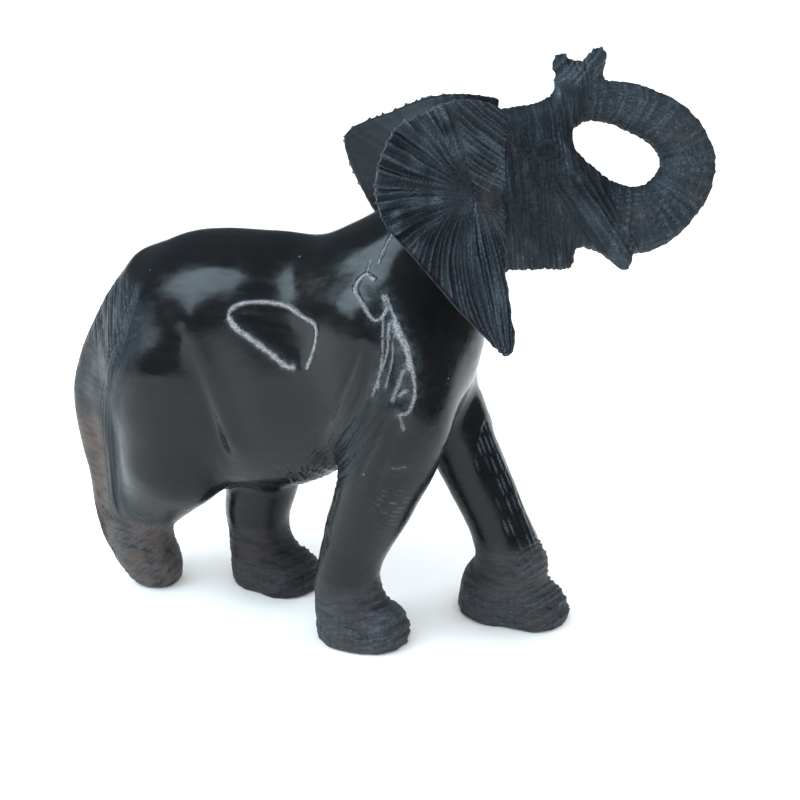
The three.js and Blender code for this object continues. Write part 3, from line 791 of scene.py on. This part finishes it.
def dowel_wood():
    graph = Graph("dowel_wood")
    grain = graph.noise(260, 4, (1, 1, 0.15))
    colour = graph.blend(graph.steps(grain, 0.3, 0.7), DOWEL_DARK, DOWEL_PALE)
    graph.link(colour, graph.shader.inputs["Base Color"])
    graph.link(graph.steps(grain, 0.3, 0.7, 0.6, 0.75), graph.shader.inputs["Roughness"])
    bump = graph.add("ShaderNodeBump")
    bump.inputs["Distance"].default_value = 0.05 * MM
    graph.link(grain, bump.inputs["Height"])
    graph.link(bump.outputs[0], graph.shader.inputs["Normal"])
    return graph.material


# ---- stage, in metres ----
AIM = Vector((0.0254, -0.0184, 0.0920))
CAMERA_DISTANCE = 0.4
CAMERA_AZIMUTH = math.radians(23)
CAMERA_ELEVATION = math.radians(22)
CAMERA_LENS, SENSOR_WIDTH = 57.6, 36  # mm
CLIP_START, CLIP_END = 0.01, 50

FLOOR_HALF = 6
FLOOR_COLOUR = (0.93, 0.9, 0.86, 1)
CARD_X, CARD_HALF, CARD_TOP = 0.2, 0.3, 0.15
CARD_COLOUR = (0.02, 0.022, 0.025, 1)
# The room is bright as a light, and dark where the wood reflects it.
ROOM_LIGHT, ROOM_LIGHT_STRENGTH = (0.92, 1, 1.07, 1), 1.6
ROOM_SEEN, ROOM_SEEN_STRENGTH = (0.8, 0.95, 1.1, 1), 0.15


def direction(azimuth, elevation):
    """The way from the object to a viewer, who is at -Y at azimuth 0 and at +X at 90 degrees."""
    return Vector((math.sin(azimuth) * math.cos(elevation),
                   -math.cos(azimuth) * math.cos(elevation), math.sin(elevation)))


def make_camera():
    camera = bpy.data.objects.new("camera", bpy.data.cameras.new("camera"))
    scene.collection.objects.link(camera)
    camera.data.lens = CAMERA_LENS
    camera.data.sensor_width = SENSOR_WIDTH
    camera.data.clip_start = CLIP_START
    camera.data.clip_end = CLIP_END
    toward = direction(CAMERA_AZIMUTH, CAMERA_ELEVATION)
    camera.location = AIM + toward * CAMERA_DISTANCE
    camera.rotation_euler = (-toward).to_track_quat("-Z", "Y").to_euler()
    scene.camera = camera


def make_sheet(name, corners, colour, roughness):
    """A flat sheet of one colour, from its four corners."""
    mesh = bpy.data.meshes.new(name)
    mesh.from_pydata(corners, [], [(0, 1, 2, 3)])
    sheet = bpy.data.objects.new(name, mesh)
    scene.collection.objects.link(sheet)
    material = bpy.data.materials.new(name)
    material.use_nodes = True
    shader = material.node_tree.nodes["Principled BSDF"]
    shader.inputs["Base Color"].default_value = colour
    shader.inputs["Roughness"].default_value = roughness
    mesh.materials.append(material)
    return sheet


def make_floor():
    half = FLOOR_HALF
    corners = [(-half, -half, 0), (half, -half, 0), (half, half, 0), (-half, half, 0)]
    floor = make_sheet("floor", corners, FLOOR_COLOUR, 0.8)


def make_dark_card():
    """The dark side of the room, seen only as a reflection on the chest and the legs' fronts."""
    corners = [(CARD_X, -CARD_HALF, 0), (CARD_X, CARD_HALF, 0),
               (CARD_X, CARD_HALF, CARD_TOP), (CARD_X, -CARD_HALF, CARD_TOP)]
    card = make_sheet("dark_card", corners, CARD_COLOUR, 1)
    card.visible_camera = card.visible_diffuse = False
    card.visible_shadow = card.visible_transmission = False


def make_world():
    world = bpy.data.worlds.new("room")
    scene.world = world
    world.use_nodes = True
    nodes, links = world.node_tree.nodes, world.node_tree.links
    nodes.clear()
    path = nodes.new("ShaderNodeLightPath")
    out = nodes.new("ShaderNodeOutputWorld")
    soft = nodes.new("ShaderNodeBackground")
    soft.inputs[0].default_value = ROOM_LIGHT
    soft.inputs[1].default_value = ROOM_LIGHT_STRENGTH
    dark = nodes.new("ShaderNodeBackground")
    dark.inputs[0].default_value = ROOM_SEEN
    dark.inputs[1].default_value = ROOM_SEEN_STRENGTH
    mix = nodes.new("ShaderNodeMixShader")
    links.new(path.outputs["Is Glossy Ray"], mix.inputs[0])
    links.new(soft.outputs[0], mix.inputs[1])
    links.new(dark.outputs[0], mix.inputs[2])
    links.new(mix.outputs[0], out.inputs[0])


def window(name, azimuth, elevation, distance, width, height, radiance, colour):
    """A soft area light that faces the object from so many degrees round and up."""
    data = bpy.data.lights.new(name, "AREA")
    data.shape = "RECTANGLE"
    data.size = width
    data.size_y = height
    data.energy = radiance * math.pi * width * height
    data.color = colour
    lamp = bpy.data.objects.new(name, data)
    scene.collection.objects.link(lamp)
    toward = direction(math.radians(azimuth), math.radians(elevation))
    lamp.location = AIM + toward * distance
    lamp.rotation_euler = toward.to_track_quat("Z", "Y").to_euler()


# ---- the whole ----
polished_wood = hardwood("polished_wood")
cut_wood = hardwood("cut_wood")

body = close_mesh("body", voxel=1.62)
relax(body, passes=60, keep=head_joint)
refine(body, fine_on_body, cuts=2)
relax(body, passes=8, keep=head_joint)
carve_body(body)

head = close_mesh("head", voxel=0.94)
relax(head, passes=34)
head = modified(head, "SUBSURF", levels=1)
carve_head(head)

for node, side in (("right_ear", -1), ("left_ear", 1)):
    ear = close_mesh(node, voxel=0.73)
    relax(ear, passes=30)
    ear = modified(ear, "SUBSURF", levels=1)
    carve_ear(ear, node, side)

pegs = dowel_wood()
for name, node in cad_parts.items():
    if "dowel" in name:
        node.material_slots[0].material = pegs

make_camera()
make_floor()
make_dark_card()
make_world()
window("window", azimuth=-53, elevation=40, distance=1.3, width=0.70, height=0.85,
       radiance=6.2, colour=(0.76, 0.98, 1.1))
scene.view_settings.view_transform = "Standard"
